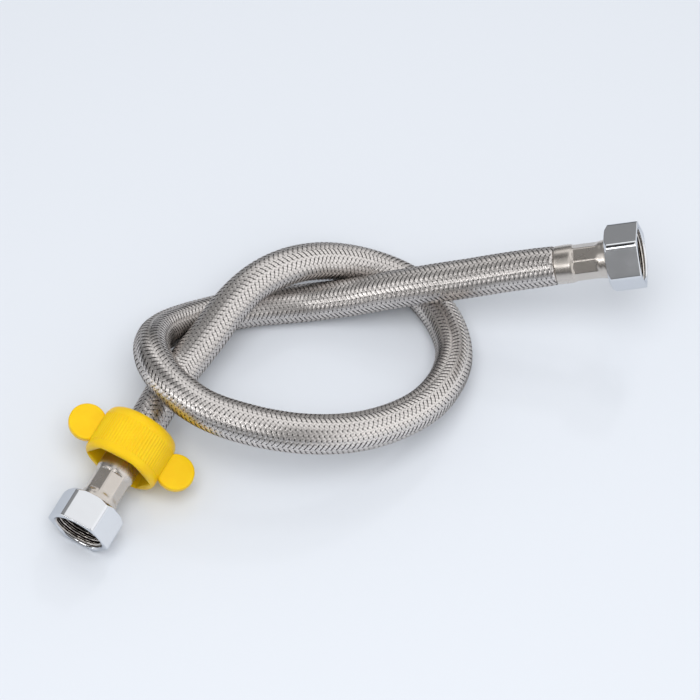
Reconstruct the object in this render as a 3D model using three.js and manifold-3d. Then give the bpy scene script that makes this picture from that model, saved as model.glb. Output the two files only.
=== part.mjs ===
// Braided flexible hose with a union nut at each end and a finger-tightening ring, tied in a loose knot.
// Millimetres, +Z up. It lies on Z = 0, and the origin is under the middle of its box.
import * as THREE from "three";
import { mergeVertices } from "three/addons/utils/BufferGeometryUtils.js";
import Module from "manifold-3d";

const wasm = await Module();
wasm.setup();

// Driving sizes
const FIT_GAP = 0.3;
const RUNNING_GAP = 0.4;

const HOSE = {
  outerDiameter: 15.2,
  braidWall: 1.0,
  tubeBore: 8.6,
  sides: 12,
  stepLength: 8,
};

// Where the swaged sleeve squeezes them, the braid and the tube are thinner
const CRIMPED_END = {
  braidDiameter: 12.2,
  braidWall: 0.6,
  shoulder: 1.2,
};

const NUT = {
  acrossFlats: 24,
  height: 13.5,
  cornerRadius: 1.6,
  threadMajor: 20.955,
  mouthDiameter: 22,
  mouthDepth: 0.7,
  threadDepth: 10.3,
  frontChamfer: 0.3,
  rearChamfer: 1.5,
};

const WASHER = {
  outerDiameter: 18.4,
  innerDiameter: 11,
  thickness: 2,
};

const NIPPLE = {
  flangeRim: 0.1,
  flangeThickness: 2.3,
  neckDiameter: 12.6,
  neckReach: 1.1,
  barbDiameter: 8.0,
  barbRoot: 7.2,
  barbs: 4,
  barbFront: 0.2,
  bore: 5.6,
  length: 25,
};

const FERRULE = {
  flareDiameter: 16,
  flareLength: 5.3,
  flareStraight: 1.3,
  flareBend: 3.2,
  neckDiameter: 14.7,
  neckAcrossFlats: 13.8,
  neckLength: 8,
  flats: 8,
  shoulderLength: 1.4,
  shoulderBend: 0.7,
  collarDiameter: 15.6,
  length: 21.2,
  endRound: 0.4,
};

const RING = {
  outerDiameter: 31.4,
  length: 20.5,
  depth: 31.5,
  socketDepth: 12.5,
  socketCornerRadius: 1.0,
  cavityDiameter: 21,
  rearWall: 3,
  rearDiameter: 25,
  rearSlope: 4.0,
  rearBend: 1.5,
  rearBendDiameter: 29.4,
  frontRound: 2.0,
  wingDiameter: 15.2,
  wingThickness: 3.6,
  wingEdge: 0.7,
  wingCentre: 20.2,
  wingRoll: -8,
};

// Route of the hose's centre line, from end A to end B. The first and last points lie this deep
// behind the mouths of the two nuts, and the hose leaves each fitting straight.
const ROUTE_END_DEPTH = 10;
const ROUTE = [
  [-102.7, -54.9, 13.5],
  [-89.2, -30.6, 16.8],
  [-80.0, -14.2, 19.0],
  [-74.3, -1.5, 18.0],
  [-67.3, 11.0, 17.0],
  [-58.3, 23.0, 19.5],
  [-49.3, 35.5, 22.7],
  [-39.3, 46.0, 24.3],
  [-25.8, 54.8, 23.0],
  [-9.8, 61.3, 17.0],
  [8.2, 62.0, 10.2],
  [25.2, 54.6, 7.9],
  [36.7, 39.5, 7.9],
  [41.2, 22.5, 10.0],
  [38.5, 7.0, 14.0],
  [29.7, -8.0, 18.5],
  [16.2, -18.8, 22.5],
  [-0.8, -26.2, 26.8],
  [-20.3, -28.7, 30.5],
  [-40.3, -26.2, 33.0],
  [-57.8, -20.0, 34.5],
  [-70.8, -9.5, 34.9],
  [-78.1, 3.0, 32.6],
  [-79.8, 14.5, 27.5],
  [-76.8, 24.5, 20.5],
  [-68.3, 33.5, 13.3],
  [-55.8, 40.5, 8.8],
  [-39.8, 44.5, 7.8],
  [-18.8, 46.8, 8.0],
  [-0.8, 46.8, 12.2],
  [14.2, 46.2, 18.0],
  [31.7, 45.5, 24.2],
  [46.2, 45.5, 28.0],
  [62.2, 45.8, 32.3],
  [79.4, 45.6, 36.9],
  [106.4, 45.2, 44.0],
];
const ROLL_A = -4;
const ROLL_B = -17;

// Places along an end's axis, as depths behind its nut's mouth
const NUT_REAR = NUT.height;
const FLANGE_REAR = NUT.threadDepth - FIT_GAP;
const FLANGE_FRONT = FLANGE_REAR - NIPPLE.flangeThickness;
const WASHER_REAR = FLANGE_FRONT - FIT_GAP;
const FERRULE_FRONT = NUT_REAR + FIT_GAP;
const FERRULE_REAR = FERRULE_FRONT + FERRULE.length;
const NECK_REAR = FERRULE_FRONT + NIPPLE.neckReach;
const TUBE_START = NECK_REAR + FIT_GAP;
const BRAID_START = TUBE_START + FIT_GAP;
const FULL_BRAID_START = FERRULE_REAR + FIT_GAP;
const FULL_TUBE_START = FULL_BRAID_START + CRIMPED_END.shoulder + FIT_GAP;
const BARB_REAR = FLANGE_FRONT + NIPPLE.length;

// Radii of the hose's layers
const BRAID_RADIUS = HOSE.outerDiameter / 2;
const BRAID_INSIDE = BRAID_RADIUS - HOSE.braidWall;
const TUBE_RADIUS = BRAID_INSIDE - FIT_GAP;
const CRIMPED_BRAID_RADIUS = CRIMPED_END.braidDiameter / 2;
const CRIMPED_BRAID_INSIDE = CRIMPED_BRAID_RADIUS - CRIMPED_END.braidWall;
const CRIMPED_TUBE_RADIUS = CRIMPED_BRAID_INSIDE - FIT_GAP;
const FERRULE_BORE_RADIUS = CRIMPED_BRAID_RADIUS + FIT_GAP;
const FLANGE_RADIUS = WASHER.outerDiameter / 2 + NIPPLE.flangeRim;

const LATHE_SIDES = 36;
const OVERRUN = 1;
const WELD_DISTANCE = 1e-4;

// Finishes
const FINISH = {
  braid: { color: 0xb9b6b3, roughness: 0.35, metalness: 0.9 },
  rubber: { color: 0x2b2a29, roughness: 0.85, metalness: 0 },
  chrome: { color: 0xe4e7ea, roughness: 0.08, metalness: 1 },
  nickel: { color: 0xcabfae, roughness: 0.28, metalness: 1 },
  brass: { color: 0xb48a45, roughness: 0.35, metalness: 1 },
  yellow: { color: 0xf7d21f, roughness: 0.4, metalness: 0 },
};

// Solids
function toManifold(geometry) {
  const plain = geometry.index ? geometry.toNonIndexed() : geometry;
  plain.deleteAttribute("normal");
  plain.deleteAttribute("uv");
  const merged = mergeVertices(plain, WELD_DISTANCE);
  const mesh = new wasm.Mesh({
    numProp: 3,
    vertProperties: new Float32Array(merged.attributes.position.array),
    triVerts: new Uint32Array(merged.index.array),
  });
  return new wasm.Manifold(mesh);
}

function toGeometry(solid) {
  const mesh = solid.getMesh();
  const geometry = new THREE.BufferGeometry();
  geometry.setAttribute("position", new THREE.BufferAttribute(mesh.vertProperties, 3));
  geometry.setIndex(new THREE.BufferAttribute(mesh.triVerts, 1));
  geometry.computeVertexNormals();
  return geometry;
}

function mesh(name, solid, finish) {
  const material = new THREE.MeshStandardMaterial(finish);
  const piece = new THREE.Mesh(toGeometry(solid), material);
  piece.name = name;
  return piece;
}

// A turned solid about the end's axis. The profile is a closed list of [radius, depth].
function turned(profile) {
  const points = profile.map(([radius, depth]) => new THREE.Vector2(radius, -depth));
  points.push(points[0].clone());
  const solid = toManifold(new THREE.LatheGeometry(points, LATHE_SIDES));
  if (solid.volume() > 0) return solid;
  return toManifold(new THREE.LatheGeometry(points.reverse(), LATHE_SIDES));
}

// LatheGeometry turns about Y, and the ends are built along Z
function standUp(solid) {
  return solid.rotate([90, 0, 0]);
}

function turnedAlongAxis(profile) {
  return standUp(turned(profile));
}

function plug(radius, fromDepth, toDepth) {
  return turnedAlongAxis([
    [0, fromDepth],
    [radius, fromDepth],
    [radius, toDepth],
    [0, toDepth],
  ]);
}

function roundedHexagon(acrossFlats, cornerRadius) {
  const shape = new THREE.Shape();
  const cornerCentre = (acrossFlats / 2 - cornerRadius) / Math.cos(Math.PI / 6);
  const arcSteps = 4;
  for (let corner = 0; corner < 6; corner++) {
    const towards = (corner * Math.PI) / 3;
    for (let i = 0; i <= arcSteps; i++) {
      const angle = towards + (i / arcSteps - 0.5) * (Math.PI / 3);
      const x = cornerCentre * Math.cos(towards) + cornerRadius * Math.cos(angle);
      const y = cornerCentre * Math.sin(towards) + cornerRadius * Math.sin(angle);
      if (corner === 0 && i === 0) shape.moveTo(x, y);
      else shape.lineTo(x, y);
    }
  }
  return shape;
}

// A prism about the end's axis, from one depth to another
function prism(shape, fromDepth, toDepth) {
  const length = toDepth - fromDepth;
  const geometry = new THREE.ExtrudeGeometry(shape, { depth: length, bevelEnabled: false });
  geometry.translate(0, 0, -toDepth);
  return toManifold(geometry);
}

// End fittings, each about its own axis with the mouth at Z = 0 and +Z pointing out of it
function unionNut() {
  const corner = NUT.acrossFlats / 2 / Math.cos(Math.PI / 6);
  const rim = corner - 2 * NUT.frontChamfer;
  const rearRim = corner - NUT.rearChamfer;
  const outside = turnedAlongAxis([
    [0, 0],
    [rim, 0],
    [corner, NUT.frontChamfer],
    [corner, NUT_REAR - NUT.rearChamfer],
    [rearRim, NUT_REAR],
    [0, NUT_REAR],
  ]);
  const hexagon = prism(roundedHexagon(NUT.acrossFlats, NUT.cornerRadius), 0, NUT_REAR);
  const threadRadius = NUT.threadMajor / 2;
  const bore = turnedAlongAxis([
    [0, -OVERRUN],
    [NUT.mouthDiameter / 2, -OVERRUN],
    [NUT.mouthDiameter / 2, 0],
    [threadRadius, NUT.mouthDepth],
    [threadRadius, NUT.threadDepth],
    [0, NUT.threadDepth],
  ]);
  const neckHole = NIPPLE.neckDiameter / 2 + RUNNING_GAP;
  return hexagon.intersect(outside).subtract(bore).subtract(plug(neckHole, 0, NUT_REAR + OVERRUN));
}

function sealWasher() {
  const front = WASHER_REAR - WASHER.thickness;
  const disc = plug(WASHER.outerDiameter / 2, front, WASHER_REAR);
  return disc.subtract(plug(WASHER.innerDiameter / 2, front - OVERRUN, WASHER_REAR + OVERRUN));
}

function nipple() {
  const barbRadius = NIPPLE.barbDiameter / 2;
  const rootRadius = NIPPLE.barbRoot / 2;
  const profile = [
    [0, FLANGE_FRONT],
    [FLANGE_RADIUS, FLANGE_FRONT],
    [FLANGE_RADIUS, FLANGE_REAR],
    [NIPPLE.neckDiameter / 2, FLANGE_REAR],
    [NIPPLE.neckDiameter / 2, NECK_REAR],
    [rootRadius, NECK_REAR],
  ];
  const barbStart = TUBE_START;
  const pitch = (BARB_REAR - barbStart) / NIPPLE.barbs;
  for (let i = 0; i < NIPPLE.barbs; i++) {
    const crest = barbStart + (i + NIPPLE.barbFront) * pitch;
    profile.push([rootRadius, crest]);
    profile.push([barbRadius, crest]);
    profile.push([rootRadius, barbStart + (i + 1) * pitch]);
  }
  profile.push([0, BARB_REAR]);
  const body = turnedAlongAxis(profile);
  return body.subtract(plug(NIPPLE.bore / 2, FLANGE_FRONT - OVERRUN, BARB_REAR + OVERRUN));
}

function ferrule() {
  const neckStart = FERRULE_FRONT + FERRULE.flareLength;
  const neckEnd = neckStart + FERRULE.neckLength;
  const collarStart = neckEnd + FERRULE.shoulderLength;
  const flare = FERRULE.flareDiameter / 2;
  const neck = FERRULE.neckDiameter / 2;
  const collar = FERRULE.collarDiameter / 2;
  const body = turnedAlongAxis([
    [0, FERRULE_FRONT],
    [flare, FERRULE_FRONT],
    [flare, FERRULE_FRONT + FERRULE.flareStraight],
    [(flare + neck) / 2, FERRULE_FRONT + FERRULE.flareBend],
    [neck, neckStart],
    [neck, neckEnd],
    [(neck + collar) / 2, neckEnd + FERRULE.shoulderBend],
    [collar, collarStart],
    [collar, FERRULE_REAR - FERRULE.endRound],
    [collar - FERRULE.endRound, FERRULE_REAR],
    [0, FERRULE_REAR],
  ]);
  const bore = plug(FERRULE_BORE_RADIUS, FERRULE_FRONT - OVERRUN, FERRULE_REAR + OVERRUN);
  const cutWidth = FERRULE.neckDiameter;
  const cutter = toManifold(new THREE.BoxGeometry(cutWidth, cutWidth, FERRULE.neckLength));
  const flats = [];
  for (let i = 0; i < FERRULE.flats; i++) {
    const outwards = FERRULE.neckAcrossFlats / 2 + cutWidth / 2;
    const placed = cutter.translate([outwards, 0, -(neckStart + neckEnd) / 2]);
    flats.push(placed.rotate([0, 0, ((i + 0.5) * 360) / FERRULE.flats]));
  }
  return body.subtract(bore).subtract(wasm.Manifold.union(flats));
}

// The ring fits over nut A: its socket is the nut's hexagon with clearance
function tighteningRing() {
  const front = RING.depth;
  const rear = front + RING.length;
  const outer = RING.outerDiameter / 2;
  const halfRound = RING.frontRound * (1 - Math.SQRT1_2);
  const barrel = turnedAlongAxis([
    [0, front],
    [outer - RING.frontRound, front],
    [outer - halfRound, front + halfRound],
    [outer, front + RING.frontRound],
    [outer, rear - RING.rearSlope],
    [RING.rearBendDiameter / 2, rear - RING.rearBend],
    [RING.rearDiameter / 2, rear],
    [0, rear],
  ]);
  const middle = (front + rear) / 2;
  const wingRadius = RING.wingDiameter / 2;
  const halfWing = RING.wingThickness / 2;
  const wing = turned([
    [0, -halfWing],
    [wingRadius - RING.wingEdge, -halfWing],
    [wingRadius, -halfWing + RING.wingEdge],
    [wingRadius, halfWing - RING.wingEdge],
    [wingRadius - RING.wingEdge, halfWing],
    [0, halfWing],
  ]);
  const wings = [-1, 1].map((side) =>
    wing.translate([side * RING.wingCentre, 0, -middle]).rotate([0, 0, RING.wingRoll]),
  );
  const socketFlats = NUT.acrossFlats + 2 * FIT_GAP;
  const socketShape = roundedHexagon(socketFlats, RING.socketCornerRadius);
  const socket = prism(socketShape, front - OVERRUN, front + RING.socketDepth);
  const cavity = plug(RING.cavityDiameter / 2, front, rear - RING.rearWall);
  const holeRadius = FERRULE.flareDiameter / 2 + RUNNING_GAP;
  const hole = plug(holeRadius, front, rear + OVERRUN);
  return wasm.Manifold.union([barrel, ...wings]).subtract(wasm.Manifold.union([socket, cavity, hole]));
}

// The hose
const route = new THREE.CatmullRomCurve3(ROUTE.map((point) => new THREE.Vector3(...point)));
route.arcLengthDivisions = 2000;
const ROUTE_LENGTH = route.getLength();

// A stretch of the route between two distances from its start
class Stretch extends THREE.Curve {
  constructor(from, to) {
    super();
    this.from = from;
    this.to = to;
  }

  getPoint(t, target = new THREE.Vector3()) {
    const distance = this.from + (this.to - this.from) * t;
    return route.getPointAt(THREE.MathUtils.clamp(distance / ROUTE_LENGTH, 0, 1), target);
  }
}

function ringOfPoints(radius) {
  const points = [];
  for (let i = 0; i < HOSE.sides; i++) {
    const angle = (i / HOSE.sides) * 2 * Math.PI;
    points.push(new THREE.Vector2(radius * Math.cos(angle), radius * Math.sin(angle)));
  }
  return new THREE.Shape(points);
}

// A round rod along the route that starts and ends at the same depth behind the two mouths
function rodAlongRoute(radius, depth) {
  const inset = depth - ROUTE_END_DEPTH;
  const path = new Stretch(inset, ROUTE_LENGTH - inset);
  const steps = Math.round((ROUTE_LENGTH - 2 * inset) / HOSE.stepLength);
  return toManifold(new THREE.ExtrudeGeometry(ringOfPoints(radius), { steps, extrudePath: path }));
}

// The crimped ends are straight, so they are turned in their end's frame
function rodInEnd(radius, fromDepth, toDepth, end) {
  return plug(radius, fromDepth, toDepth).transform(end.matrix.elements);
}

function braidSleeve(ends) {
  const overlap = FULL_BRAID_START + CRIMPED_END.shoulder;
  const solid = wasm.Manifold.union([
    rodAlongRoute(BRAID_RADIUS, FULL_BRAID_START),
    ...ends.map((end) => rodInEnd(CRIMPED_BRAID_RADIUS, BRAID_START, overlap, end)),
  ]);
  const hollow = wasm.Manifold.union([
    rodAlongRoute(BRAID_INSIDE, overlap),
    ...ends.map((end) => rodInEnd(CRIMPED_BRAID_INSIDE, BRAID_START - OVERRUN, overlap + OVERRUN, end)),
  ]);
  return solid.subtract(hollow);
}

function innerTube(ends) {
  const overlap = FULL_TUBE_START + CRIMPED_END.shoulder;
  const solid = wasm.Manifold.union([
    rodAlongRoute(TUBE_RADIUS, FULL_TUBE_START),
    ...ends.map((end) => rodInEnd(CRIMPED_TUBE_RADIUS, TUBE_START, overlap, end)),
  ]);
  return solid.subtract(rodAlongRoute(HOSE.tubeBore / 2, TUBE_START - OVERRUN));
}

// An end's frame: the mouth's centre, the axis out of it, and the roll of the hexagon about it
function endGroup(tip, next, roll) {
  const outwards = new THREE.Vector3().subVectors(tip, next).normalize();
  const level = new THREE.Vector3(0, 0, 1).cross(outwards).normalize();
  const upright = new THREE.Vector3().crossVectors(outwards, level);
  const group = new THREE.Group();
  group.matrix.makeBasis(level, upright, outwards);
  group.quaternion.setFromRotationMatrix(group.matrix);
  group.rotateZ(THREE.MathUtils.degToRad(roll));
  group.position.copy(tip).addScaledVector(outwards, ROUTE_END_DEPTH);
  group.updateMatrix();
  return group;
}

function addFittings(end, letter) {
  end.add(mesh(`union_nut_${letter}`, unionNut(), FINISH.chrome));
  end.add(mesh(`seal_washer_${letter}`, sealWasher(), FINISH.rubber));
  end.add(mesh(`nipple_${letter}`, nipple(), FINISH.brass));
  end.add(mesh(`ferrule_${letter}`, ferrule(), FINISH.nickel));
}

const points = route.points;
const endA = endGroup(points[0], points[1], ROLL_A);
const endB = endGroup(points[points.length - 1], points[points.length - 2], ROLL_B);
const ends = [endA, endB];

addFittings(endA, "a");
addFittings(endB, "b");
endA.add(mesh("tightening_ring", tighteningRing(), FINISH.yellow));

const hose = new THREE.Group();
hose.add(mesh("braid_sleeve", braidSleeve(ends), FINISH.braid));
hose.add(mesh("inner_tube", innerTube(ends), FINISH.rubber));
hose.add(endA, endB);

// Lay it on Z = 0 with the origin under the middle of its box
const box = new THREE.Box3().setFromObject(hose, true);
const middle = box.getCenter(new THREE.Vector3());
hose.position.set(-middle.x, -middle.y, -box.min.z);

export default hose;
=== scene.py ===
"""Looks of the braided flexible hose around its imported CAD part. Metres, in the part's own frame."""

import math
from typing import NamedTuple

import bmesh
import bpy
import numpy as np
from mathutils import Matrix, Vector


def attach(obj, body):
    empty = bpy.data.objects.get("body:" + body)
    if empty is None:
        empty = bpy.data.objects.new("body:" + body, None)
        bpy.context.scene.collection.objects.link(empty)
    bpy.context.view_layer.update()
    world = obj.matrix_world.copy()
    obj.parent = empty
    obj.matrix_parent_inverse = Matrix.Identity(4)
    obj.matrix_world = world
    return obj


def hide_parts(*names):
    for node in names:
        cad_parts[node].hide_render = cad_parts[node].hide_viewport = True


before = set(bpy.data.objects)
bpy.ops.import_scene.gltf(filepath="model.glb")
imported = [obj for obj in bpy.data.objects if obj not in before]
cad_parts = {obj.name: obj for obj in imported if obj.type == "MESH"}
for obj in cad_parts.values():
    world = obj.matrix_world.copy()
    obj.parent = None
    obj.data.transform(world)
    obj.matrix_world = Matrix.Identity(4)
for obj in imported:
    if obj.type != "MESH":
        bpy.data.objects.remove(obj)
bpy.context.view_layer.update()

MM = 0.001
FULL_TURN = 2 * math.pi
QUARTER = math.pi / 2

# Camera: it looks down from 58 degrees above the surface, through a long lens
CAMERA_TARGET = (-0.00083, 0.02897, 0.0)
CAMERA_DISTANCE = 1.5
CAMERA_ELEVATION = math.radians(58)
CAMERA_CLIP = (0.01, 20)
SENSOR_WIDTH = 36
LENS = 189


def make_camera():
    data = bpy.data.cameras.new("camera")
    data.sensor_width = SENSOR_WIDTH
    data.lens = LENS
    data.clip_start, data.clip_end = CAMERA_CLIP
    camera = bpy.data.objects.new("camera", data)
    back = Vector((0, -math.cos(CAMERA_ELEVATION), math.sin(CAMERA_ELEVATION)))
    camera.location = Vector(CAMERA_TARGET) + back * CAMERA_DISTANCE
    camera.rotation_euler = (QUARTER - CAMERA_ELEVATION, 0, 0)
    bpy.context.scene.collection.objects.link(camera)
    bpy.context.scene.camera = camera


make_camera()

# Route of the hose's centre line, from end A to end B, as in the CAD source. Its first and last
# points lie this deep behind the mouths of the nuts, and the shift centres the part on its box.
ROUTE_END_DEPTH = 10 * MM
ROUTE_SHIFT = (-0.0000324, -0.0000344, 0.0000092)
ROUTE = [
    (-0.1027, -0.0549, 0.0135),
    (-0.0892, -0.0306, 0.0168),
    (-0.0800, -0.0142, 0.0190),
    (-0.0743, -0.0015, 0.0180),
    (-0.0673, 0.0110, 0.0170),
    (-0.0583, 0.0230, 0.0195),
    (-0.0493, 0.0355, 0.0227),
    (-0.0393, 0.0460, 0.0243),
    (-0.0258, 0.0548, 0.0230),
    (-0.0098, 0.0613, 0.0170),
    (0.0082, 0.0620, 0.0102),
    (0.0252, 0.0546, 0.0079),
    (0.0367, 0.0395, 0.0079),
    (0.0412, 0.0225, 0.0100),
    (0.0385, 0.0070, 0.0140),
    (0.0297, -0.0080, 0.0185),
    (0.0162, -0.0188, 0.0225),
    (-0.0008, -0.0262, 0.0268),
    (-0.0203, -0.0287, 0.0305),
    (-0.0403, -0.0262, 0.0330),
    (-0.0578, -0.0200, 0.0345),
    (-0.0708, -0.0095, 0.0349),
    (-0.0781, 0.0030, 0.0326),
    (-0.0798, 0.0145, 0.0275),
    (-0.0768, 0.0245, 0.0205),
    (-0.0683, 0.0335, 0.0133),
    (-0.0558, 0.0405, 0.0088),
    (-0.0398, 0.0445, 0.0078),
    (-0.0188, 0.0468, 0.0080),
    (-0.0008, 0.0468, 0.0122),
    (0.0142, 0.0462, 0.0180),
    (0.0317, 0.0455, 0.0242),
    (0.0462, 0.0455, 0.0280),
    (0.0622, 0.0458, 0.0323),
    (0.0794, 0.0456, 0.0369),
    (0.1064, 0.0452, 0.0440),
]
ROLL_A = math.radians(-4)
ROLL_B = math.radians(-17)

# The hose's radius and the depths of its ferrules behind the mouths, as in the CAD source
HOSE_RADIUS = 7.6 * MM
FERRULE_FRONT = 13.8 * MM
FERRULE_REAR = 35.0 * MM


def unit(vector):
    return vector / np.linalg.norm(vector)


def smooth(share):
    """A share from 0 to 1 with a soft start and end."""
    share = np.clip(share, 0, 1)
    return share * share * (3 - 2 * share)


def catmull(points, steps):
    """A centripetal Catmull-Rom curve through the points, the same as the CAD route."""
    p = np.vstack([2 * points[0] - points[1], points, 2 * points[-1] - points[-2]])
    out = []
    for i in range(1, len(p) - 2):
        a, b, c, d = p[i - 1 : i + 3]
        t1 = np.linalg.norm(b - a) ** 0.5
        t2 = t1 + np.linalg.norm(c - b) ** 0.5
        t3 = t2 + np.linalg.norm(d - c) ** 0.5
        t = np.linspace(t1, t2, steps, endpoint=False)[:, None]
        a1 = (t1 - t) / t1 * a + t / t1 * b
        a2 = (t2 - t) / (t2 - t1) * b + (t - t1) / (t2 - t1) * c
        a3 = (t3 - t) / (t3 - t2) * c + (t - t2) / (t3 - t2) * d
        b1 = (t2 - t) / t2 * a1 + t / t2 * a2
        b2 = (t3 - t) / (t3 - t1) * a2 + (t - t1) / (t3 - t1) * a3
        out.append((t2 - t) / (t2 - t1) * b1 + (t - t1) / (t2 - t1) * b2)
    out.append(points[-1][None])
    return np.vstack(out)


class Route:
    """The centre line by arc length, with a frame that doesn't twist."""

    CURVE_STEPS = 120
    STEP = 0.25 * MM
    BEND_BLUR = 12 * MM
    TIGHTEST = 28 * MM
    SQUEEZE = 0.05
    STRAIGHT = 1e-3

    def __init__(self):
        points = np.array(ROUTE) + np.array(ROUTE_SHIFT)
        dense = catmull(points, self.CURVE_STEPS)
        run = np.linalg.norm(np.diff(dense, axis=0), axis=1)
        arc = np.concatenate([[0], np.cumsum(run)])
        self.length = arc[-1]
        self.arc = np.linspace(0, self.length, int(self.length / self.STEP) + 1)
        self.centre = np.stack([np.interp(self.arc, arc, dense[:, k]) for k in range(3)], 1)
        tangent = np.gradient(self.centre, self.arc, axis=0)
        self.tangent = tangent / np.linalg.norm(tangent, axis=1)[:, None]
        self.normal = np.zeros_like(self.centre)
        across = np.cross(self.tangent[0], (0, 0, 1.0))
        self.normal[0] = unit(np.cross(across, self.tangent[0]))
        for i in range(1, len(self.arc)):
            n = self.normal[i - 1]
            self.normal[i] = unit(n - (n @ self.tangent[i]) * self.tangent[i])
        self.binormal = np.cross(self.tangent, self.normal)
        bend = np.gradient(self.tangent, self.arc, axis=0)
        kernel = np.hanning(int(self.BEND_BLUR / self.STEP))
        kernel /= kernel.sum()
        self.bend = np.stack([np.convolve(bend[:, k], kernel, "same") for k in range(3)], 1)

    def at(self, values, s):
        return np.stack([np.interp(s, self.arc, values[:, k]) for k in range(3)], -1)

    def surface(self, s, angle, radius):
        """Points at an arc length, an angle round the hose and a radius, narrower across a bend."""
        n = self.at(self.normal, s)
        b = self.at(self.binormal, s)
        out = np.cos(angle)[..., None] * n + np.sin(angle)[..., None] * b
        bend = self.at(self.bend, s)
        strength = np.maximum(np.linalg.norm(bend, axis=-1), self.STRAIGHT)
        along = (bend * out).sum(-1)
        narrower = self.SQUEEZE * along**2 * self.TIGHTEST / strength
        return self.at(self.centre, s) + (radius * (1 - narrower))[..., None] * out


route = Route()
FREE_START = FERRULE_REAR - ROUTE_END_DEPTH


def new_object(name, vertices, faces, materials, slots=None):
    mesh = bpy.data.meshes.new(name)
    mesh.from_pydata([tuple(v) for v in vertices], [], [tuple(f) for f in faces])
    for material in materials:
        mesh.materials.append(material)
    if slots is not None:
        mesh.polygons.foreach_set("material_index", np.array(slots, np.int32))
    mesh.polygons.foreach_set("use_smooth", np.ones(len(mesh.polygons), bool))
    whole = bmesh.new()
    whole.from_mesh(mesh)
    bmesh.ops.recalc_face_normals(whole, faces=whole.faces)
    whole.to_mesh(mesh)
    whole.free()
    piece = bpy.data.objects.new(name, mesh)
    bpy.context.scene.collection.objects.link(piece)
    return piece


# Materials
class Tree:
    """Short calls for the nodes of one node tree."""

    def __init__(self, tree):
        self.nodes = tree.nodes
        self.links = tree.links

    def put(self, source, socket):
        """A number, a colour or another node's output goes into a socket."""
        if isinstance(source, (int, float)):
            socket.default_value = source
        elif isinstance(source, tuple):
            socket.default_value = (*source, 1)
        else:
            self.links.new(source, socket)

    def math(self, operation, *sources):
        node = self.nodes.new("ShaderNodeMath")
        node.operation = operation
        for source, socket in zip(sources, node.inputs):
            self.put(source, socket)
        return node.outputs[0]

    def split(self, vector):
        node = self.nodes.new("ShaderNodeSeparateXYZ")
        self.put(vector, node.inputs["Vector"])
        return node.outputs

    def ramp(self, source, low, high, start=0.0, end=1.0, shape="LINEAR"):
        """From start to end while the source goes from low to high."""
        node = self.nodes.new("ShaderNodeMapRange")
        node.interpolation_type = shape
        self.put(source, node.inputs["Value"])
        self.put(low, node.inputs["From Min"])
        self.put(high, node.inputs["From Max"])
        self.put(start, node.inputs["To Min"])
        self.put(end, node.inputs["To Max"])
        return node.outputs["Result"]

    def mix(self, share, first, second, kind="RGBA"):
        node = self.nodes.new("ShaderNodeMix")
        node.data_type = kind
        self.put(share, node.inputs["Factor"])
        self.put(first, node.inputs["A"])
        self.put(second, node.inputs["B"])
        return node.outputs["Result"]


class Finish(Tree):
    """A procedural material round one principled shader."""

    NOISE_LOW = 0.3
    NOISE_HIGH = 0.7

    def __init__(self, name, color, metallic, roughness, **inputs):
        self.material = bpy.data.materials.new(name)
        self.material.use_nodes = True
        super().__init__(self.material.node_tree)
        self.shader = self.nodes["Principled BSDF"]
        plain = {"Base Color": (*color, 1), "Metallic": metallic, "Roughness": roughness}
        named = {key.replace("_", " "): value for key, value in inputs.items()}
        for key, value in (plain | named).items():
            self.shader.inputs[key].default_value = value

    def feed(self, key, source):
        self.put(source, self.shader.inputs[key])

    def noise(self, scale, detail=3.0):
        """Noise in the piece's own coordinates, so the scale is in patches a metre."""
        place = self.nodes.new("ShaderNodeTexCoord")
        texture = self.nodes.new("ShaderNodeTexNoise")
        self.put(scale, texture.inputs["Scale"])
        self.put(detail, texture.inputs["Detail"])
        self.put(place.outputs["Object"], texture.inputs["Vector"])
        return texture.outputs["Fac"]

    def spread(self, noise, low, high):
        """The middle range of a noise turned into a number between low and high."""
        return self.ramp(noise, self.NOISE_LOW, self.NOISE_HIGH, low, high)

    def colors(self, noise, first, second):
        """Two colours, mixed by a noise."""
        return self.mix(self.spread(noise, 0, 1), first, second)

    def bump(self, height, strength, distance):
        node = self.nodes.new("ShaderNodeBump")
        self.put(strength, node.inputs["Strength"])
        self.put(distance, node.inputs["Distance"])
        self.put(height, node.inputs["Height"])
        self.feed("Normal", node.outputs["Normal"])


# The flat bundles: round wires side by side, with painted shade at their edges where the outer wires
# sink between neighbours
WIRES = 8
WIRE_HEIGHT = 0.04 * MM
BUNDLE_MIDDLE = 0.5
EDGE_START = 0.4
EDGE_SHADE_COLOR = (0.1, 0.094, 0.09)


def across_bundle(finish):
    """The place across a bundle, 0 to 1, which is the UV map's first coordinate."""
    uv = finish.nodes.new("ShaderNodeUVMap")
    return finish.split(uv.outputs["UV"])["X"]


def wire_bump(finish, strength):
    waves = finish.math("SINE", finish.math("MULTIPLY", across_bundle(finish), WIRES * math.pi))
    finish.bump(finish.math("ABSOLUTE", waves), strength, WIRE_HEIGHT)


# Painted shade: a bundle's colour darkens towards both of its edges
def painted_edge_shade(finish, color):
    from_middle = finish.math("SUBTRACT", across_bundle(finish), BUNDLE_MIDDLE)
    share = finish.ramp(finish.math("ABSOLUTE", from_middle), EDGE_START, BUNDLE_MIDDLE)
    return finish.mix(share, color, EDGE_SHADE_COLOR)


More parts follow.
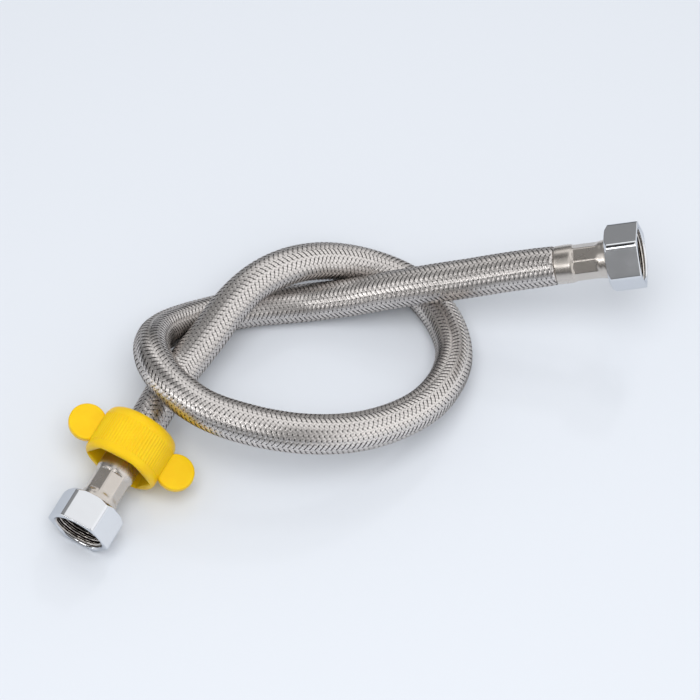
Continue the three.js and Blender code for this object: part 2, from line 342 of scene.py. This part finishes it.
def braid_material():
    finish = Finish(
        "braid_wire",
        (0.74, 0.71, 0.69),
        metallic=1.0,
        roughness=0.3,
        Anisotropic=0.8,
        Specular_Tint=(0.5, 0.49, 0.48, 1),
    )
    wire_bump(finish, 0.15)
    across = finish.nodes.new("ShaderNodeTangent")
    across.direction_type = "UV_MAP"
    across.uv_map = "UVMap"
    finish.feed("Tangent", across.outputs["Tangent"])
    color = finish.colors(finish.noise(900.0, 2.0), (0.68, 0.645, 0.62), (0.8, 0.76, 0.735))
    # The bundle's edges get painted shade
    finish.feed("Base Color", painted_edge_shade(finish, color))
    finish.feed("Roughness", finish.spread(finish.noise(2500.0, 1.0), 0.26, 0.34))
    return finish.material


def flank_shade_material():
    """The sides of a bundle in a dark copy of the wire metal: painted shade for their own shadow
    between the neighbours.
    """
    finish = Finish("braid_flank_shade", (0.1, 0.09, 0.085), metallic=1.0, roughness=0.5)
    wire_bump(finish, 0.2)
    # Painted shade, a little uneven along the flanks
    flank_shade_noise = finish.noise(1500.0, 2.0)
    finish.feed("Base Color", finish.colors(flank_shade_noise, (0.03, 0.027, 0.025), (0.07, 0.064, 0.06)))
    return finish.material


def rubber_material():
    finish = Finish("black_rubber", (0.018, 0.017, 0.017), metallic=0.0, roughness=0.6)
    grain = finish.noise(1800.0)
    finish.bump(grain, 0.3, 0.03 * MM)
    finish.feed("Roughness", finish.spread(grain, 0.5, 0.75))
    return finish.material


def chrome_material():
    finish = Finish(
        "polished_chrome",
        (0.75, 0.765, 0.79),
        metallic=1.0,
        roughness=0.07,
        Specular_Tint=(0.7, 0.72, 0.75, 1),
    )
    finish.feed("Roughness", finish.spread(finish.noise(260.0), 0.05, 0.11))
    finish.bump(finish.noise(500.0, 2.0), 0.05, 0.02 * MM)
    return finish.material


def thread_material(name, dark, light):
    finish = Finish(name, dark, metallic=1.0, roughness=0.35)
    stain = finish.noise(420.0)
    finish.feed("Base Color", finish.colors(stain, dark, light))
    finish.feed("Roughness", finish.spread(stain, 0.16, 0.26))
    return finish.material


def nickel_material():
    finish = Finish("satin_nickel", (0.66, 0.6, 0.53), metallic=1.0, roughness=0.28)
    cloud = finish.noise(90.0, 2.0)
    finish.feed("Base Color", finish.colors(cloud, (0.58, 0.535, 0.49), (0.65, 0.605, 0.56)))
    finish.feed("Roughness", finish.spread(cloud, 0.24, 0.3))
    finish.bump(finish.noise(2200.0, 2.0), 0.05, 0.01 * MM)
    return finish.material


def brass_material():
    finish = Finish("machined_brass", (0.55, 0.38, 0.16), metallic=1.0, roughness=0.3)
    cloud = finish.noise(500.0)
    finish.feed("Roughness", finish.spread(cloud, 0.24, 0.42))
    finish.bump(cloud, 0.15, 0.02 * MM)
    return finish.material


def yellow_material():
    finish = Finish(
        "yellow_plastic",
        (0.94, 0.6, 0.008),
        metallic=0.0,
        roughness=0.38,
        Specular_IOR_Level=0.3,
        Subsurface_Weight=0.35,
        Subsurface_Radius=(1.0, 0.5, 0.05),
        Subsurface_Scale=2.5 * MM,
    )
    cloud = finish.noise(150.0)
    finish.feed("Base Color", finish.colors(cloud, (0.83, 0.53, 0.004), (0.86, 0.575, 0.007)))
    grain = finish.noise(2600.0, 2.0)
    finish.bump(grain, 0.18, 0.02 * MM)
    finish.feed("Roughness", finish.spread(grain, 0.32, 0.44))
    return finish.material


BRAID = braid_material()
FLANK_SHADE = flank_shade_material()
RUBBER = rubber_material()
CHROME = chrome_material()
# A light and a dark copy of the thread's warm metal: painted highlight and painted shade
THREAD_HIGHLIGHT = thread_material("thread_painted_highlight", (0.6, 0.55, 0.5), (0.78, 0.73, 0.68))
THREAD_SHADE = thread_material("thread_painted_shade", (0.05, 0.042, 0.036), (0.1, 0.085, 0.07))
NICKEL = nickel_material()
BRASS = brass_material()
YELLOW = yellow_material()

# The weave: two families of flat wire bundles that pass over two and under two, so that their
# floats stand in straight columns along the hose
CARRIERS = 12
PERIOD = 1.95 * MM
LEAD = CARRIERS * PERIOD
BUNDLE_WIDTH = 1.3 * MM
BUNDLE_THICKNESS = 0.34 * MM
WEAVE_RISE = 0.18 * MM
WAVE_COLUMNS = 4
FLOAT_FLATNESS = 1.5
STEPS_PER_COLUMN = 2
COLUMN_ANGLE = FULL_TURN / (2 * CARRIERS)
MEAN_RADIUS = HOSE_RADIUS - WEAVE_RISE - BUNDLE_THICKNESS
BUNDLE_SHARP = math.radians(35)
# Places across a bundle, as shares of its width, and their heights as shares of its thickness.
# The two faces between its crown and its upper edges shine, and the others are its flanks, which take
# the painted shade material.
BUNDLE_SECTION = np.array([(-0.5, 0.0), (-0.49, 0.86), (0.0, 1.0), (0.49, 0.86), (0.5, 0.0)])
SHINING_FACES = (1, 2)
# The weave's ends are tucked into the ferrules. It narrows to the crimped radius between the last
# two of these values, which are depths behind the mouths.
TUCK = 1.6 * MM
WOVEN_START = FREE_START - TUCK
WOVEN_END = route.length - WOVEN_START
CRIMPED_RADIUS = 6.05 * MM
NARROW_BRAID = 34.1 * MM
FULL_BRAID = 35.7 * MM
# Outer radius of the weave at distances along the route: it spreads where it hangs free
WEAVE_STATIONS = np.array([0.0, 275, 300, 350, 380, 535, 550, 582, 591]) * MM
WEAVE_RADII = np.array([7.85, 7.85, 8.15, 8.15, 7.85, 7.85, 8.05, 8.05, 7.85]) * MM
# The rubber tube under the weave, which shows only as darkness between the bundles
TUBE_GAP = 0.12 * MM
TUBE_CRIMP = 0.9
TUBE_BORE_RADIUS = 4.3 * MM
TUBE_OVERHANG = 3 * MM
TUBE_SIDES = 40
TUBE_STEP = 2 * MM


def sleeve_scale(s):
    """The sleeve's radius as a share of the CAD sleeve's, by distance along the route."""
    depth = np.minimum(s, route.length - s) + ROUTE_END_DEPTH
    share = smooth((depth - NARROW_BRAID) / (FULL_BRAID - NARROW_BRAID))
    low = CRIMPED_RADIUS / HOSE_RADIUS
    free = np.interp(s, WEAVE_STATIONS, WEAVE_RADII) / HOSE_RADIUS
    return low + (free - low) * share


def weave_rise(angle):
    """Height of the first family above the middle of the weave, and minus that of the second."""
    wave = np.cos(FULL_TURN * (angle / COLUMN_ANGLE - 0.5) / WAVE_COLUMNS)
    return WEAVE_RISE * np.clip(FLOAT_FLATNESS * wave, -1, 1)


def woven_family(name, hand):
    """The bundles that wind one way: a hand of 1 is a right-hand screw, and -1 a left-hand one."""
    turn = hand * FULL_TURN / LEAD
    pitch_angle = math.atan(abs(turn) * HOSE_RADIUS)
    count = int((WOVEN_END - WOVEN_START) * abs(turn) / COLUMN_ANGLE * STEPS_PER_COLUMN)
    along = np.linspace(WOVEN_START, WOVEN_END, count)
    lengths = np.arange(count) * (along[1] - along[0]) / BUNDLE_WIDTH
    across = BUNDLE_SECTION[:, 0] * BUNDLE_WIDTH
    rows = len(BUNDLE_SECTION)
    vertices, faces, across_uv, along_uv, slots = [], [], [], [], []
    for carrier in range(CARRIERS):
        middle = carrier * FULL_TURN / CARRIERS + turn * along
        s = along[:, None] - hand * across[None] * math.sin(pitch_angle)
        angle = middle[:, None] + across[None] * math.cos(pitch_angle) / HOSE_RADIUS
        height = BUNDLE_SECTION[:, 1][None] * BUNDLE_THICKNESS + hand * weave_rise(middle)[:, None]
        points = route.surface(s, angle, (MEAN_RADIUS + height) * sleeve_scale(s))
        index = len(vertices) * rows * count + np.arange(count * rows).reshape(count, rows)
        vertices.append(points.reshape(-1, 3))
        for row in range(rows):
            other = (row + 1) % rows
            near, far = BUNDLE_SECTION[row, 0] + 0.5, BUNDLE_SECTION[other, 0] + 0.5
            start, end = index[:-1], index[1:]
            faces.append(np.stack([start[:, row], end[:, row], end[:, other], start[:, other]], -1))
            across_uv.append(np.repeat([[near, near, far, far]], count - 1, 0))
            along_uv.append(np.stack([lengths[:-1], lengths[1:], lengths[1:], lengths[:-1]], -1))
            # Shining faces take the wire metal, and the flanks the painted shade material
            slots.append(np.full(count - 1, 0 if row in SHINING_FACES else 1))
    piece = new_object(
        name, np.vstack(vertices), np.vstack(faces), [BRAID, FLANK_SHADE], np.concatenate(slots)
    )
    layer = piece.data.uv_layers.new(name="UVMap")
    loops = np.stack([np.vstack(across_uv).ravel(), np.vstack(along_uv).ravel()], -1)
    layer.data.foreach_set("uv", loops.astype(np.float32).ravel())
    piece.data.set_sharp_from_angle(angle=BUNDLE_SHARP)
    return piece


def tube_outer(s):
    """The tube fills the weave, and is squeezed a little more inside the ferrules."""
    scale = sleeve_scale(s)
    return (MEAN_RADIUS - WEAVE_RISE - TUBE_GAP) * scale * np.where(scale < TUBE_CRIMP, TUBE_CRIMP, 1)


def rubber_tube():
    start = WOVEN_START - TUBE_OVERHANG
    end = WOVEN_END + TUBE_OVERHANG
    count = int((end - start) / TUBE_STEP) + 1
    s = np.repeat(np.linspace(start, end, count)[:, None], TUBE_SIDES, 1)
    angle = np.repeat(np.arange(TUBE_SIDES)[None] * FULL_TURN / TUBE_SIDES, count, 0)
    outside = route.surface(s, angle, tube_outer(s)).reshape(-1, 3)
    inside = route.surface(s, angle, np.full_like(s, TUBE_BORE_RADIUS)).reshape(-1, 3)
    outer = np.arange(count * TUBE_SIDES).reshape(count, TUBE_SIDES)
    faces = []
    for index in (outer, outer + outer.size):
        turned = np.roll(index, -1, 1)
        faces.append(np.stack([index[:-1], index[1:], turned[1:], turned[:-1]], -1).reshape(-1, 4))
    for first in (outer[0], outer[-1]):
        second = first + outer.size
        faces.append(np.stack([first, np.roll(first, -1), np.roll(second, -1), second], -1))
    return new_object("rubber_tube", np.vstack([outside, inside]), np.vstack(faces), [RUBBER])


first_family = woven_family("braid_bundles_right", 1)
second_family = woven_family("braid_bundles_left", -1)
inner_tube = rubber_tube()


# End fittings
class End:
    """A nut's frame: the mouth's centre, the axis out of it and the roll of the hexagon."""

    def __init__(self, tip, behind, roll):
        shift = np.array(ROUTE_SHIFT)
        tip = np.array(tip) + shift
        behind = np.array(behind) + shift
        self.out = unit(tip - behind)
        level = unit(np.cross((0, 0, 1.0), self.out))
        upright = np.cross(self.out, level)
        self.x = math.cos(roll) * level + math.sin(roll) * upright
        self.y = np.cross(self.out, self.x)
        self.mouth = tip + ROUTE_END_DEPTH * self.out

    def place(self, x, y, depth):
        """Points in the part's frame from coordinates across the end and a depth behind the mouth."""
        x, y, depth = (np.asarray(v, float)[..., None] for v in (x, y, depth))
        return self.mouth + x * self.x + y * self.y - depth * self.out


END_A = End(ROUTE[0], ROUTE[1], ROLL_A)
END_B = End(ROUTE[-1], ROUTE[-2], ROLL_B)


class Shell:
    """A closed ring-shaped piece about an end's axis, made level by level."""

    def __init__(self, angle_count):
        self.angles = np.arange(angle_count) * FULL_TURN / angle_count
        self.radii, self.depths, self.slots = [], [], []

    def level(self, radius, depth, slot=0):
        self.radii.append(np.broadcast_to(radius, self.angles.shape))
        self.depths.append(np.broadcast_to(depth, self.angles.shape))
        self.slots.append(np.broadcast_to(slot, self.angles.shape))

    def make(self, name, end, finishes):
        radii = np.stack(self.radii)
        x = radii * np.cos(self.angles)
        y = radii * np.sin(self.angles)
        vertices = end.place(x, y, np.stack(self.depths)).reshape(-1, 3)
        index = np.arange(radii.size).reshape(radii.shape)
        below = np.roll(index, -1, 0)
        quad = np.stack([index, below, np.roll(below, -1, 1), np.roll(index, -1, 1)], -1)
        return new_object(name, vertices, quad.reshape(-1, 4), finishes, np.stack(self.slots).ravel())


# Half of the angle that one side of a hexagon takes up
HALF_SIDE = math.pi / 6


def hexagon_radius(angles, across_flats, corner_radius):
    """Radius of a rounded hexagon, which has two of its corners on local X."""
    local = (angles + HALF_SIDE) % (2 * HALF_SIDE) - HALF_SIDE
    centre = (across_flats / 2 - corner_radius) / math.cos(HALF_SIDE)
    tangent = math.atan2(corner_radius / 2, centre + corner_radius * math.cos(HALF_SIDE))
    flat = across_flats / 2 / np.cos(HALF_SIDE - np.abs(local))
    root = np.maximum(corner_radius**2 - (centre * np.sin(local)) ** 2, 0)
    arc = centre * np.cos(local) + np.sqrt(root)
    return np.where(np.abs(local) < tangent, arc, flat)


def edge_round(distance, radius):
    """How far a rounded edge falls back at a distance from the face."""
    inside = np.clip(radius - distance, 0, radius)
    return radius - np.sqrt(np.maximum(radius**2 - inside**2, 0))


def finish_piece(piece, body, nodes, sharp):
    piece.data.set_sharp_from_angle(angle=sharp)
    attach(piece, body)
    if nodes:
        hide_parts(*nodes)


METAL_SHARP = math.radians(28)
PLASTIC_SHARP = math.radians(50)

NUT_HEIGHT = 13.5 * MM
ACROSS_FLATS = 24 * MM
CORNER_RADIUS = 1.6 * MM
NUT_ANGLES = 24 * 6
FRONT_ROUND = 0.45 * MM
REAR_ROUND = 0.3 * MM
REAR_CHAMFER = 1.5 * MM
REAR_CHAMFER_SLOPE = 1.1
REAR_FACE_RIM = 1.2 * MM
FLATS_START = 1.0 * MM
FLATS_END = NUT_HEIGHT - 2.6 * MM
REAR_EDGE_START = NUT_HEIGHT - 2.4 * MM
NECK_HOLE = 6.7 * MM
NECK_HOLE_CHAMFER = 0.3 * MM
MOUTH_RADIUS = 11 * MM
MOUTH_DEPTH = 0.7 * MM
MOUTH_EDGE = 0.1 * MM
MOUTH_EDGE_DEPTH = 0.12 * MM
THREAD_ROOT = 20.955 / 2 * MM
THREAD_RISE = 1.1 * MM
THREAD_PITCH = 1.814 * MM
THREAD_SHARPNESS = 1.3
THREAD_END = 10.3 * MM
THREAD_STEP = 0.1 * MM
THREAD_FLOOR_STEP = 0.2 * MM
# The thread grows and ends over these lengths
THREAD_LEAD_IN = 1.1 * MM
THREAD_RUN_OUT = 1.5 * MM
# Heights of the ridge above and below which the thread gets a painted highlight, and painted shade
# between them
THREAD_CREST = 0.84
THREAD_VALLEY = 0.06
# Material slots of the thread's painted highlight and painted shade; slot 0 is the chrome
HIGHLIGHT_SLOT = 1
SHADE_SLOT = 2


def nut_outside(nut):
    hexagon = hexagon_radius(nut.angles, ACROSS_FLATS, CORNER_RADIUS)
    corner = ACROSS_FLATS / 2 / math.cos(HALF_SIDE)
    front_edge = FRONT_ROUND * (1 - np.cos(np.linspace(0, QUARTER, 7)))
    flats = np.linspace(FLATS_START, FLATS_END, 8)
    rear_edge = np.linspace(REAR_EDGE_START, NUT_HEIGHT, 25)
    for d in np.concatenate([front_edge, flats, rear_edge]):
        front = edge_round(d, FRONT_ROUND)
        rear = edge_round(NUT_HEIGHT - d, REAR_ROUND)
        cut = REAR_CHAMFER * np.clip(1 - (NUT_HEIGHT - d) / REAR_CHAMFER, 0, 1) * REAR_CHAMFER_SLOPE
        nut.level(np.minimum(hexagon - front - rear, corner - cut - rear), d)
    nut.level(np.minimum(hexagon, corner - REAR_CHAMFER) - REAR_FACE_RIM, NUT_HEIGHT)


def nut_inside(nut):
    nut.level(NECK_HOLE + NECK_HOLE_CHAMFER, NUT_HEIGHT)
    # The neck hole and the floor behind the thread take the thread's painted shade
    nut.level(NECK_HOLE, NUT_HEIGHT - NECK_HOLE_CHAMFER, SHADE_SLOT)
    nut.level(NECK_HOLE, THREAD_END, SHADE_SLOT)
    nut.level(THREAD_ROOT - THREAD_FLOOR_STEP, THREAD_END, SHADE_SLOT)
    for d in np.arange(THREAD_END, MOUTH_DEPTH, -THREAD_STEP):
        phase = d / THREAD_PITCH - nut.angles / FULL_TURN
        ridge = (0.5 + 0.5 * np.cos(FULL_TURN * phase)) ** THREAD_SHARPNESS
        lead_in = np.clip((d - MOUTH_DEPTH) / THREAD_LEAD_IN, 0, 1)
        run_out = np.clip((THREAD_END - d) / THREAD_RUN_OUT, 0, 1)
        # Painted highlight on the crests and roots, painted shade on the flanks
        highlit = (ridge > THREAD_CREST) | (ridge < THREAD_VALLEY)
        radius = THREAD_ROOT - THREAD_RISE * lead_in * run_out * ridge
        nut.level(radius, d, np.where(highlit, HIGHLIGHT_SLOT, SHADE_SLOT))
    nut.level(THREAD_ROOT, MOUTH_DEPTH)
    nut.level(MOUTH_RADIUS - MOUTH_EDGE, MOUTH_EDGE_DEPTH)
    nut.level(MOUTH_RADIUS + MOUTH_EDGE, 0.0)


def union_nut(name, end, node):
    nut = Shell(NUT_ANGLES)
    nut_outside(nut)
    nut_inside(nut)
    piece = nut.make(name, end, [CHROME, THREAD_HIGHLIGHT, THREAD_SHADE])
    finish_piece(piece, name, [node], METAL_SHARP)


union_nut("nut_a", END_A, "union_nut_a")
union_nut("nut_b", END_B, "union_nut_b")

# The ferrule's outline before its flats are pressed: depths behind the mouth and radii. A flare
# narrows to the neck, and a soft shoulder leads to the collar.
FERRULE_OUTLINE = np.array(
    [
        (13.8, 8.0),
        (14.6, 7.95),
        (15.6, 7.7),
        (17.0, 7.5),
        (18.2, 7.4),
        (19.1, 7.35),
        (27.1, 7.35),
        (27.5, 7.45),
        (28.1, 7.72),
        (28.9, 7.82),
        (31.0, 7.84),
        (33.5, 7.78),
        (35.0, 7.68),
    ]
) * MM
FERRULE_FRONT_ROUND = 0.35 * MM
FERRULE_REAR_ROUND = 0.45 * MM
FERRULE_BORE = 6.4 * MM
FERRULE_BORE_CHAMFER = 0.25 * MM
FERRULE_BODY_START = FERRULE_FRONT + 0.5 * MM
FERRULE_BODY_END = FERRULE_REAR - 0.6 * MM
FERRULE_ANGLES = 128
FERRULE_LEVELS = 110
# The neck's eight flats, pressed in between these depths with a soft start and a short end
OCTAGON = 8
NECK_FLATS = 13.8 * MM
PRESS_START = 16.6 * MM
PRESS_END = 27.4 * MM
PRESS_RISE = 2.0 * MM
PRESS_FALL = 0.5 * MM


def ferrule(name, end, node):
    shell = Shell(FERRULE_ANGLES)
    sector = FULL_TURN / OCTAGON
    octagon = NECK_FLATS / 2 / np.cos(shell.angles % sector - sector / 2)
    front_edge = FERRULE_FRONT + FERRULE_FRONT_ROUND * (1 - np.cos(np.linspace(0, QUARTER, 5)))
    body = np.linspace(FERRULE_BODY_START, FERRULE_BODY_END, FERRULE_LEVELS)
    rear_edge = FERRULE_REAR - FERRULE_REAR_ROUND * (1 - np.sin(np.linspace(0, QUARTER, 6)))
    for d in np.concatenate([front_edge, body, rear_edge]):
        plain = np.interp(d, *FERRULE_OUTLINE.T)
        rise = np.clip((d - PRESS_START) / PRESS_RISE, 0, 1)
        fall = np.clip((PRESS_END - d) / PRESS_FALL, 0, 1)
        shaped = plain + (np.minimum(octagon, plain) - plain) * smooth(rise * fall)
        front = edge_round(d - FERRULE_FRONT, FERRULE_FRONT_ROUND)
        rear = edge_round(FERRULE_REAR - d, FERRULE_REAR_ROUND)
        shell.level(shaped - front - rear, d)
    shell.level(FERRULE_BORE + FERRULE_BORE_CHAMFER, FERRULE_REAR)
    shell.level(FERRULE_BORE, FERRULE_REAR - FERRULE_BORE_CHAMFER)
    shell.level(FERRULE_BORE, FERRULE_FRONT)
    piece = shell.make(name, end, [NICKEL])
    finish_piece(piece, "hose", [node], METAL_SHARP)
    return piece


ferrule_a = ferrule("ferrule_end_a", END_A, "ferrule_a")
ferrule_b = ferrule("ferrule_end_b", END_B, "ferrule_b")

# The winged ring, whose depths run from its front edge
RING_FRONT = 31.5 * MM
RING_LENGTH = 20.5 * MM
RING_REAR = RING_FRONT + RING_LENGTH
RING_RADIUS = 15.7 * MM
RING_FRONT_ROUND = 2.0 * MM
RING_REAR_RADIUS = 12.5 * MM
RING_SLOPE = 4.0 * MM
RING_SLOPE_FULLNESS = 0.85
RING_HOLE = 8.4 * MM
RING_HOLE_CHAMFER = 0.4 * MM
RING_REAR_WALL = 3 * MM
RING_CAVITY = 10.5 * MM
RING_SOCKET = 12.5 * MM
SOCKET_GAP = 0.3 * MM
SOCKET_CORNER = 1.0 * MM
SOCKET_FLOOR_RIM = 0.2 * MM
SOCKET_FLOOR_RISE = 0.3 * MM
LIP = 0.3 * MM
LIP_DEPTH = 0.1 * MM
LIP_WALL = 0.05 * MM
LIP_BOTTOM = 0.4 * MM
# Ribs round the ring, which fade out beside the wings and stop before both ends
RIBS = 72
RIB_SAMPLES = 6
RIB_DEPTH = 0.28 * MM
RIB_SHARPNESS = 1.6
RIB_RAMP = 0.5 * MM
RIB_START = RING_FRONT + 3.4 * MM
RIB_END = RING_REAR - RING_SLOPE - 0.4 * MM
RIB_CLEAR = math.radians(11)
RIB_FADE = math.radians(2)
WING_RADIUS = 7.6 * MM
WING_ROLL = math.radians(-8)
WING_HALF = 1.8 * MM
WING_EDGE = 0.9 * MM
WING_CENTRE = 20.2 * MM
WING_ROOT = 14.8 * MM
WING_POINTS = 56
WING_EDGE_POINTS = 7


def ring_outside(ring, socket):
    lip = socket + LIP
    ring.level(lip, RING_FRONT + LIP_DEPTH)
    for t in np.linspace(0, QUARTER, 11):
        rounded = RING_RADIUS - RING_FRONT_ROUND * (1 - np.sin(t))
        depth = RING_FRONT + RING_FRONT_ROUND * (1 - np.cos(t))
        ring.level(np.maximum(rounded, lip + LIP_WALL * (1 + t)), depth)
    ribs = (0.5 - 0.5 * np.cos(ring.angles * RIBS)) ** RIB_SHARPNESS
    off_wing = np.abs((ring.angles - WING_ROLL + QUARTER) % math.pi - QUARTER)
    bare = np.clip((off_wing - RIB_CLEAR) / RIB_FADE, 0, 1)
    # The levels lie closer together where the ribs start and end
    ribbed = [
        np.linspace(RIB_START - 1 * MM, RIB_START, 3),
        np.linspace(RIB_START + 0.15 * MM, RIB_START + RIB_RAMP, 4),
        np.linspace(RIB_START + 1 * MM, RIB_END - 1 * MM, 6),
        np.linspace(RIB_END - RIB_RAMP, RIB_END - 0.1 * MM, 4),
        [RIB_END, RIB_END + 0.3 * MM],
    ]
    for d in np.concatenate(ribbed):
        cut = np.clip((d - RIB_START) / RIB_RAMP, 0, 1) * np.clip((RIB_END - d) / RIB_RAMP, 0, 1)
        ring.level(RING_RADIUS - RIB_DEPTH * cut * bare * (1 - ribs), d)
    for t in np.linspace(0, QUARTER, 10):
        fall = (RING_RADIUS - RING_REAR_RADIUS) * np.cos(t) ** RING_SLOPE_FULLNESS
        ring.level(RING_REAR_RADIUS + fall, RING_REAR - RING_SLOPE * (1 - np.sin(t)))


def ring_inside(ring, socket):
    ring.level(RING_HOLE + RING_HOLE_CHAMFER, RING_REAR)
    ring.level(RING_HOLE, RING_REAR - RING_HOLE_CHAMFER)
    ring.level(RING_HOLE, RING_REAR - RING_REAR_WALL)
    ring.level(RING_CAVITY, RING_REAR - RING_REAR_WALL)
    ring.level(RING_CAVITY, RING_FRONT + RING_SOCKET)
    ring.level(socket - SOCKET_FLOOR_RIM, RING_FRONT + RING_SOCKET)
    ring.level(socket, RING_FRONT + RING_SOCKET - SOCKET_FLOOR_RISE)
    for d in np.linspace(RING_SOCKET - 1 * MM, 1 * MM, 4):
        ring.level(socket, RING_FRONT + d)
    ring.level(socket, RING_FRONT + LIP_BOTTOM)


def ring_barrel():
    ring = Shell(RIBS * RIB_SAMPLES)
    socket = hexagon_radius(ring.angles, ACROSS_FLATS + 2 * SOCKET_GAP, SOCKET_CORNER)
    ring_outside(ring, socket)
    ring_inside(ring, socket)
    piece = ring.make("ring_barrel", END_A, [YELLOW])
    finish_piece(piece, "ring", ["tightening_ring"], PLASTIC_SHARP)


def ring_wing(name, side):
    """A round flat wing with its root inside the barrel: a side of 1 is local +X, and -1 is -X."""
    reach = math.acos((WING_CENTRE - WING_ROOT) / WING_RADIUS)
    turns = np.linspace(-math.pi + reach, math.pi - reach, WING_POINTS)
    rounded = [
        (-WING_HALF + WING_EDGE * (1 - math.cos(t)), WING_EDGE * (1 - math.sin(t)))
        for t in np.linspace(0, QUARTER, WING_EDGE_POINTS)
    ]
    levels = rounded + [(-y, inset) for y, inset in reversed(rounded)]
    grid = []
    for y, inset in levels:
        x = side * (WING_CENTRE + (WING_RADIUS - inset) * np.cos(turns))
        across = x * math.cos(WING_ROLL) - y * math.sin(WING_ROLL)
        up = x * math.sin(WING_ROLL) + y * math.cos(WING_ROLL)
        depth = RING_FRONT + RING_LENGTH / 2 + (WING_RADIUS - inset) * np.sin(turns)
        grid.append(END_A.place(across, up, depth))
    index = np.arange(len(levels) * WING_POINTS).reshape(len(levels), WING_POINTS)
    turned = np.roll(index, -1, 1)
    rim = np.stack([index[:-1], turned[:-1], turned[1:], index[1:]], -1).reshape(-1, 4)
    faces = [*rim, index[0], index[-1]]
    piece = new_object(name, np.vstack(grid), faces, [YELLOW])
    finish_piece(piece, "ring", (), PLASTIC_SHARP)


ring_barrel()
ring_wing("ring_wing_right", 1)
ring_wing("ring_wing_left", -1)

# The weave and the tube join the hose's body in place of their CAD nodes
for piece, slot_name, node in (
    (first_family, "sleeve_steel", "braid_sleeve"),
    (second_family, "sleeve_steel", "braid_sleeve"),
    (inner_tube, "tube_rubber", "inner_tube"),
):
    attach(piece, "hose")
    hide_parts(node)

# CAD nodes that keep their shape
for node, finish in (
    ("seal_washer_a", RUBBER),
    ("seal_washer_b", RUBBER),
    ("nipple_a", BRASS),
    ("nipple_b", BRASS),
):
    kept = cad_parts[node]
    kept.data.materials.clear()
    kept.data.materials.append(finish)


# Floor, light and air
FLOOR_REACH = 4.0
FLOOR_DROP = 0.1 * MM
FLOOR_COLOR = (0.71, 0.745, 0.8)


def make_stage():
    corners = [(-1, -1), (1, -1), (1, 1), (-1, 1)]
    mesh = bpy.data.meshes.new("floor")
    mesh.from_pydata([(x * FLOOR_REACH, y * FLOOR_REACH, 0) for x, y in corners], [], [(0, 1, 2, 3)])
    floor = bpy.data.objects.new("floor", mesh)
    floor.location = (0, 0, -FLOOR_DROP)
    bpy.context.scene.collection.objects.link(floor)
    finish = Finish("floor", FLOOR_COLOR, metallic=0.0, roughness=0.14, Specular_IOR_Level=0.35)
    mesh.materials.append(finish.material)


def make_light(name, direction, distance, size, power):
    data = bpy.data.lights.new(name, "AREA")
    data.shape = "DISK"
    data.size = size
    data.energy = power
    light = bpy.data.objects.new(name, data)
    towards = Vector(direction).normalized()
    light.location = towards * distance
    light.rotation_euler = towards.to_track_quat("Z", "Y").to_euler()
    light.visible_glossy = False
    bpy.context.scene.collection.objects.link(light)


class Patch(NamedTuple):
    """A patch of the air. It starts and ends at angles in degrees on the way from the back horizon
    over the top to the front, and its left and right edges are shares of a unit direction. Each of
    the four is a range over which the patch fades in or out."""

    level: float
    start: tuple
    end: tuple
    left: tuple
    right: tuple


# What polished metal mirrors: walls, darker on the left and at the horizon, and patches on them
DIFFUSE_AIR = 0.66
AIR_TINT = (0.985, 0.99, 1.0)
LEFT_WALL = 0.31
RIGHT_WALL = 1.15
WALL_TURN = (0.2, 0.5)
LEFT_HORIZON = 0.04
RIGHT_HORIZON = 0.8
HORIZON_EDGE = (0.02, 0.22)
PATCHES = [
    Patch(1.0, start=(82, 88), end=(122, 128), left=(-1.2, -1.1), right=(-0.1, 0.1)),
    Patch(1.2, start=(24, 27), end=(44, 50), left=(-0.44, -0.41), right=(0.0, 0.1)),
    Patch(1.04, start=(24, 30), end=(88, 97), left=(-0.18, -0.08), right=(0.85, 0.95)),
    Patch(3.9, start=(124, 128), end=(139, 142), left=(-1.2, -1.1), right=(-0.2, -0.1)),
    Patch(0.02, start=(62, 68), end=(139, 142), left=(-0.5, -0.48), right=(-0.37, -0.35)),
]


def make_air():
    world = bpy.data.worlds.new("air")
    world.use_nodes = True
    air = Tree(world.node_tree)
    place = air.nodes.new("ShaderNodeTexCoord")
    x, y, z = air.split(place.outputs["Generated"])
    height = air.math("DEGREES", air.math("ARCTAN2", z, y))

    def soft(source, edge, start=0.0, end=1.0):
        return air.ramp(source, *edge, start, end, "SMOOTHSTEP")

    def between(source, rise, fall):
        return air.math("MULTIPLY", soft(source, rise), soft(source, fall, 1.0, 0.0))

    wall = soft(x, WALL_TURN, LEFT_WALL, RIGHT_WALL)
    horizon = soft(x, WALL_TURN, LEFT_HORIZON, RIGHT_HORIZON)
    level = air.math("MULTIPLY", wall, soft(z, HORIZON_EDGE, horizon, 1.0))
    for patch in PATCHES:
        along = between(height, patch.start, patch.end)
        inside = air.math("MULTIPLY", along, between(x, patch.left, patch.right))
        rise = air.math("SUBTRACT", patch.level, level)
        level = air.math("MULTIPLY_ADD", inside, rise, level)
    ray = air.nodes.new("ShaderNodeLightPath")
    seen = air.math("MAXIMUM", ray.outputs["Is Camera Ray"], ray.outputs["Is Glossy Ray"])
    seen = air.math("MAXIMUM", seen, ray.outputs["Is Transmission Ray"])
    background = air.nodes["Background"]
    air.put(AIR_TINT, background.inputs["Color"])
    air.put(air.mix(seen, DIFFUSE_AIR, level, "FLOAT"), background.inputs["Strength"])
    bpy.context.scene.world = world


make_stage()
make_light("overhead", direction=(0.0, -0.32, 1.0), distance=1.1, size=0.9, power=7.2)
make_light("back_key", direction=(0.244, 0.646, 0.724), distance=1.6, size=0.12, power=1.2)
make_air()
bpy.context.scene.view_settings.view_transform = "Standard"
